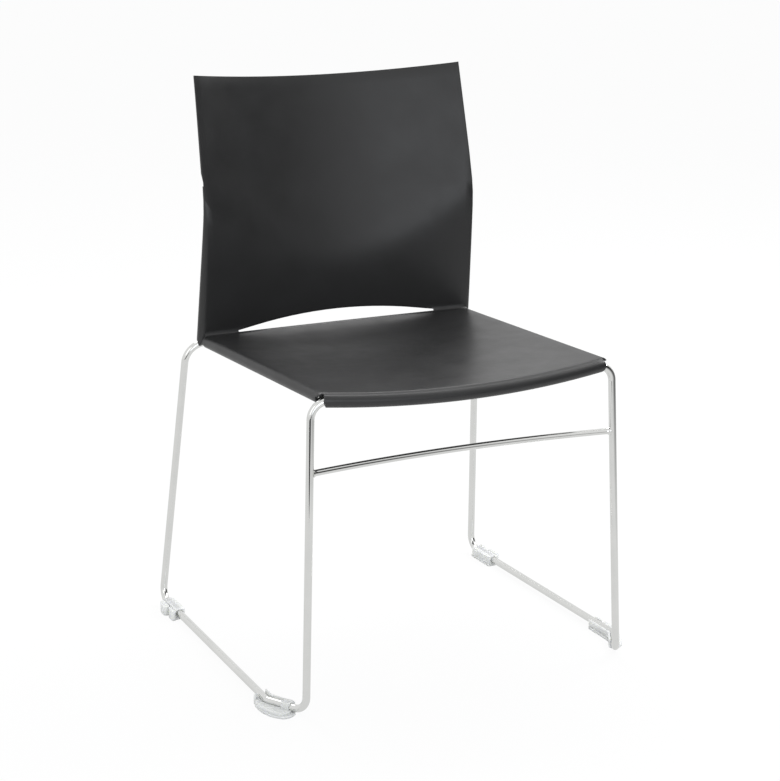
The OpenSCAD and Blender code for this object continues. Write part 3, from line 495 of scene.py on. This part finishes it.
FEET = {
    # A closed block round the runner, with the long lobe behind the short one
    "foot_rear_left": (-1, BLOCK_MID, {
        "pad": ([(-11, -30), (8, -30), (8, 28), (-11, 28)], 4, 0, 3),
        "block": ([(-9, -28.5), (7, -28.5), (7, 26.5), (-9, 26.5)], 3, 0, 15.6),
        "long_neck": ([(6, -4), (10, -4), (10, 18), (6, 18)], 1, 0, 7),
        "long_lobe": ([(8.5, -7), (17.5, -7), (18, 8), (15, 21), (8.5, 21)], 4.5, 0, 15),
        "short_neck": ([(6, -30), (10, -30), (10, -13), (6, -13)], 1, 0, 7),
        "short_lobe": ([(7.8, -33), (13.5, -33), (14, -22), (12.5, -11), (7.8, -11)], 3.5, 0, 15)}),
    # The same block, with the short lobe behind the long one
    "foot_rear_right": (1, BLOCK_MID, {
        "pad": ([(-12, -30), (8, -30), (8, 30), (-12, 30)], 4, 0, 3),
        "block": ([(-10.5, -28), (7, -28), (7, 29.5), (-10.5, 29.5)], 3, 0, 15.4),
        "long_neck": ([(6, -17), (10, -17), (10, 6), (6, 6)], 1, 0, 7),
        "long_lobe": ([(8.2, -20), (14, -20), (15, -6), (14, 8), (8.2, 8)], 4, 0, 15.6),
        "short_lobe": ([(5, 15), (10, 15), (10.5, 24), (9, 32), (5, 32)], 3, 0, 16.2)}),
    # A tray round the jog: a broad paddle outboard, a thin flange inboard, a bracket at the heel and a
    # collar over the rod at the toe
    "foot_front_left": (-1, JOG_START, {
        "pad": ([(-10, 22), (9, 22), (16.5, 6), (16.5, -17), (10, -38), (-4, -54), (-17, -52), (-28, -42),
                 (-12, -8)], 6, 0, 3),
        "paddle": ([(-6, 20), (9, 19), (15, 8), (15.5, -14), (9, -33), (-1, -48), (-15, -46), (-24, -38),
                    (-8, -6)], 6, 2, 7),
        "runner_flange": ([(-8.6, 23), (-6.4, 23), (-6.4, -4), (-8.6, -4)], 0.8, 0, 15.5),
        "jog_flange": (along_jog(-5, 44, -8.6, -6.4), 0.8, 0, 15.5),
        "bracket": ([(6.2, 20.5), (11, 20.5), (14, 16), (14, 11.5), (12, 11.5), (11.5, 15.5), (10, 18),
                     (6.2, 18)], 1, 0, 13),
        "collar": (along_jog(29, 43, -8, 8), 4, 0, 16.2)}),
    # A longer tray whose toe ends as a cup under the bend of the leg
    "foot_front_right": (1, JOG_START, {
        "pad": ([(-12, 56), (10, 57), (17, 40), (14, 5), (3, -20), (-7, -33), (-22, -30), (-13, -4)],
                6, 0, 3),
        "runner_flange": ([(-9, 57), (-6.2, 57), (-6.2, -3), (-9, -3)], 0.9, 0, 12.5),
        "jog_flange": (along_jog(-5, 34, -9, -6.2), 0.9, 0, 12.5),
        "paddle": ([(5, 47), (12.5, 44), (16, 36), (12.5, 6), (3, -12), (1, -12), (4, 6)], 4, 0, 10.5),
        "heel": ([(4, 60), (9, 57), (9.5, 46), (4, 46)], 1.5, 0, 14),
        "cup": (along_jog(12, 38, -8, 7), 4, 0, 11)})}

for node, (side, origin, plates) in FEET.items():
    add_piece("nylon_" + node, moulded_foot(node, side, origin, plates, sled_paths[side]),
              NYLON, node)


# Rail rods, tabs, screws and caps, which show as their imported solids

SOLID_LOOKS = {"rail_rod": CHROME, "tab": CHROME, "upright_cap": NYLON,
               "shell_screws": ZINC, "foot_screws": ZINC}

for name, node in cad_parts.items():
    for start, material in SOLID_LOOKS.items():
        if name.startswith(start):
            node.data.materials.clear()
            node.data.materials.append(material)


# Studio: floor, room, lights and camera, in metres

FLOOR_SIDE = 60
# Level direction from the chair towards the dark side of the studio, on the camera's right
DARK_SIDE = Vector((0.866, -0.5, 0))
# How much of what the camera and glossy surfaces see of the paper is its lift to white
PAPER_LIFT = 0.92
# The paper's level to glossy surfaces, near the chair and on the dark side, and from where to where it falls
PAPER_NEAR, PAPER_FAR = 0.78, 0.1
FALL_START, FALL_END = 0.8, 2.2
# Sides of the dark patch painted on the floor, which only glossy surfaces see, as a painted dark reflection
# in the chrome: the axis, where the patch begins to show and where it is full
REFLECTION_PATCH_LEFT = ("X", -2.6, -2.4)
REFLECTION_PATCH_RIGHT = ("X", -0.48, -0.6)
REFLECTION_PATCH_NEAR = ("Y", -1.28, -1.4)
# Levels of the room: the even soft light that it gives, and its wall and opening to glossy surfaces
SOFT_LIGHT = 0.8
ROOM_WALL, ROOM_OPENING = 0.85, 0.03
# How squarely a direction has to face the dark side for the wall to end and for the opening to be full
WALL_ENDS, OPENING_FULL = 0.72, 0.9


def seen_rays(tree):
    """Whether a glossy surface looks at the place, and whether the camera or a glossy surface does."""
    ray = add(tree, "ShaderNodeLightPath")
    seen = add(tree, "ShaderNodeMath", {"operation": "MAXIMUM"},
               {0: ray.outputs["Is Camera Ray"], 1: ray.outputs["Is Glossy Ray"]})
    return ray.outputs["Is Glossy Ray"], seen.outputs[0]


def dark_reflection_patch(tree, spot):
    """How far a spot of the floor lies within the painted dark patch before the chair's left side. Only
    glossy surfaces see the patch, so it paints a dark reflection into the chrome of the front leg."""
    axes = add(tree, "ShaderNodeSeparateXYZ", None, {0: spot})
    left, right, near = (
        add(tree, "ShaderNodeMapRange", {"From Min": start, "From Max": full},
            {"Value": axes.outputs[axis]}).outputs["Result"]
        for axis, start, full in (REFLECTION_PATCH_LEFT, REFLECTION_PATCH_RIGHT, REFLECTION_PATCH_NEAR))
    across = add(tree, "ShaderNodeMath", {"operation": "MULTIPLY"}, {0: left, 1: right})
    inside = add(tree, "ShaderNodeMath", {"operation": "MULTIPLY"}, {0: across.outputs[0], 1: near})
    return inside.outputs[0]


def studio_paper():
    """Matt white paper; the camera sees it lifted to white, so that its shadow stays faint. Glossy surfaces
    see it in a pale grey that falls off towards the dark side of the studio. Before the chair's left side
    they also see a painted dark patch, which paints a dark reflection into the chrome."""
    material, tree, shader, place = coated("studio_paper", {"Roughness": 0.9, "Specular IOR Level": 0.1})
    clouds = add(tree, "ShaderNodeTexNoise", {"Scale": grains(400)}, {"Vector": place})
    colour = add(tree, "ShaderNodeMix",
                 {"data_type": "RGBA", "A": linear("#f4f4f4"), "B": linear("#f7f7f7")},
                 {"Factor": clouds.outputs["Fac"]})
    tree.links.new(colour.outputs[2], shader.inputs["Base Color"])
    spot = add(tree, "ShaderNodeNewGeometry").outputs["Position"]
    reach = add(tree, "ShaderNodeVectorMath", {"operation": "DOT_PRODUCT", 1: tuple(DARK_SIDE)}, {0: spot})
    mirrored = add(tree, "ShaderNodeMapRange",
                   {"From Min": FALL_START, "From Max": FALL_END, "To Min": PAPER_NEAR, "To Max": PAPER_FAR},
                   {"Value": reach.outputs["Value"]})
    # Painted reflection: glossy surfaces see the paper dark within the patch, while the camera doesn't see
    # the patch
    darkened = add(tree, "ShaderNodeMix", {"data_type": "FLOAT", "B": 0.0},
                   {"Factor": dark_reflection_patch(tree, spot), "A": mirrored.outputs["Result"]})
    glossy, seen = seen_rays(tree)
    level = add(tree, "ShaderNodeMix", {"data_type": "FLOAT", "A": 1.0},
                {"Factor": glossy, "B": darkened.outputs[0]})
    lift = add(tree, "ShaderNodeEmission", {"Color": (1, 1, 1, 1)}, {"Strength": level.outputs[0]})
    share = add(tree, "ShaderNodeMath", {"operation": "MULTIPLY", 1: PAPER_LIFT}, {0: seen})
    mix = add(tree, "ShaderNodeMixShader", None,
              {0: share.outputs[0], 1: shader.outputs[0], 2: lift.outputs[0]})
    tree.links.new(mix.outputs[0], tree.nodes["Material Output"].inputs["Surface"])
    return material


def lay_floor():
    """A sheet of studio paper under the chair."""
    bpy.ops.mesh.primitive_plane_add(size=FLOOR_SIDE, location=(0, 0, 0))
    floor = bpy.context.object
    floor.name = "floor"
    floor.data.materials.append(studio_paper())


def studio_room():
    """A room that gives an even soft light. The camera sees it white, and glossy surfaces see it pale all
    round but for the dark opening on its dark side."""
    world = bpy.data.worlds.new("studio")
    bpy.context.scene.world = world
    world.use_nodes = True
    tree = world.node_tree
    soft = tree.nodes["Background"]
    soft.inputs["Color"].default_value = linear("#f4f5f6")
    soft.inputs["Strength"].default_value = SOFT_LIGHT
    outward = add(tree, "ShaderNodeTexCoord").outputs["Generated"]
    facing = add(tree, "ShaderNodeVectorMath", {"operation": "DOT_PRODUCT", 1: tuple(DARK_SIDE)},
                 {0: outward})
    walls = add(tree, "ShaderNodeMapRange",
                {"From Min": WALL_ENDS, "From Max": OPENING_FULL,
                 "To Min": ROOM_WALL, "To Max": ROOM_OPENING},
                {"Value": facing.outputs["Value"]})
    glossy, seen = seen_rays(tree)
    level = add(tree, "ShaderNodeMix", {"data_type": "FLOAT", "A": 1.0},
                {"Factor": glossy, "B": walls.outputs["Result"]})
    shown = add(tree, "ShaderNodeBackground", {"Color": (1, 1, 1, 1)}, {"Strength": level.outputs[0]})
    mix = add(tree, "ShaderNodeMixShader", None, {0: seen, 1: soft.outputs[0], 2: shown.outputs[0]})
    tree.links.new(mix.outputs[0], tree.nodes["World Output"].inputs["Surface"])


def softbox(name, place, target, size, watts, colour):
    """A rectangular softbox that faces its target."""
    data = bpy.data.lights.new(name, "AREA")
    data.shape = "RECTANGLE"
    data.size, data.size_y = size
    data.energy = watts
    data.color = linear(colour)[:3]
    lamp = bpy.data.objects.new(name, data)
    bpy.context.scene.collection.objects.link(lamp)
    lamp.location = place
    lamp.rotation_euler = (Vector(target) - Vector(place)).to_track_quat("-Z", "Y").to_euler()


lay_floor()
# Name, place, target, width and height, watts, colour
softbox("key_softbox", (2.6, 0.4, 2.4), (0, 0, 0.5), (1.6, 1.6), 45, "#ffffff")
softbox("front_softbox", (-0.1, -3.2, 1.0), (0, 0.2, 0.6), (1.8, 1.8), 15, "#eef3fa")
softbox("fill_softbox", (-2.6, -1.4, 1.8), (0, 0, 0.4), (1.5, 2.0), 6, "#ffffff")
softbox("top_softbox", (0.3, 1.6, 2.8), (0, 0, 0.4), (2.2, 1.6), 40, "#ffffff")
studio_room()

# Camera at the photograph's viewpoint: its angle round the chair from the front, its angle above the floor
# and its roll, the point that it faces and its distance, and its lens and sensor in millimetres
AZIMUTH, ELEVATION, ROLL = (math.radians(a) for a in (-26.36, 15.46, 0.27))
TARGET = Vector((-0.0008, 0, 0.3816))
DISTANCE = 3.156
LENS = 96.50
SENSOR = 36


def photo_camera():
    """Stands the camera where the photograph was taken."""
    back = Vector((math.sin(AZIMUTH) * math.cos(ELEVATION), -math.cos(AZIMUTH) * math.cos(ELEVATION),
                   math.sin(ELEVATION)))
    level = (-back).cross(Vector((0, 0, 1))).normalized()
    upright = level.cross(-back)
    right = level * math.cos(ROLL) + upright * math.sin(ROLL)
    up = upright * math.cos(ROLL) - level * math.sin(ROLL)
    data = bpy.data.cameras.new("photo_camera")
    data.lens = LENS
    data.sensor_width = SENSOR
    camera = bpy.data.objects.new("photo_camera", data)
    bpy.context.scene.collection.objects.link(camera)
    pose = Matrix((right, up, back)).transposed().to_4x4()
    pose.translation = TARGET + back * DISTANCE
    camera.matrix_world = pose
    bpy.context.scene.camera = camera


photo_camera()
bpy.context.scene.view_settings.view_transform = "Standard"
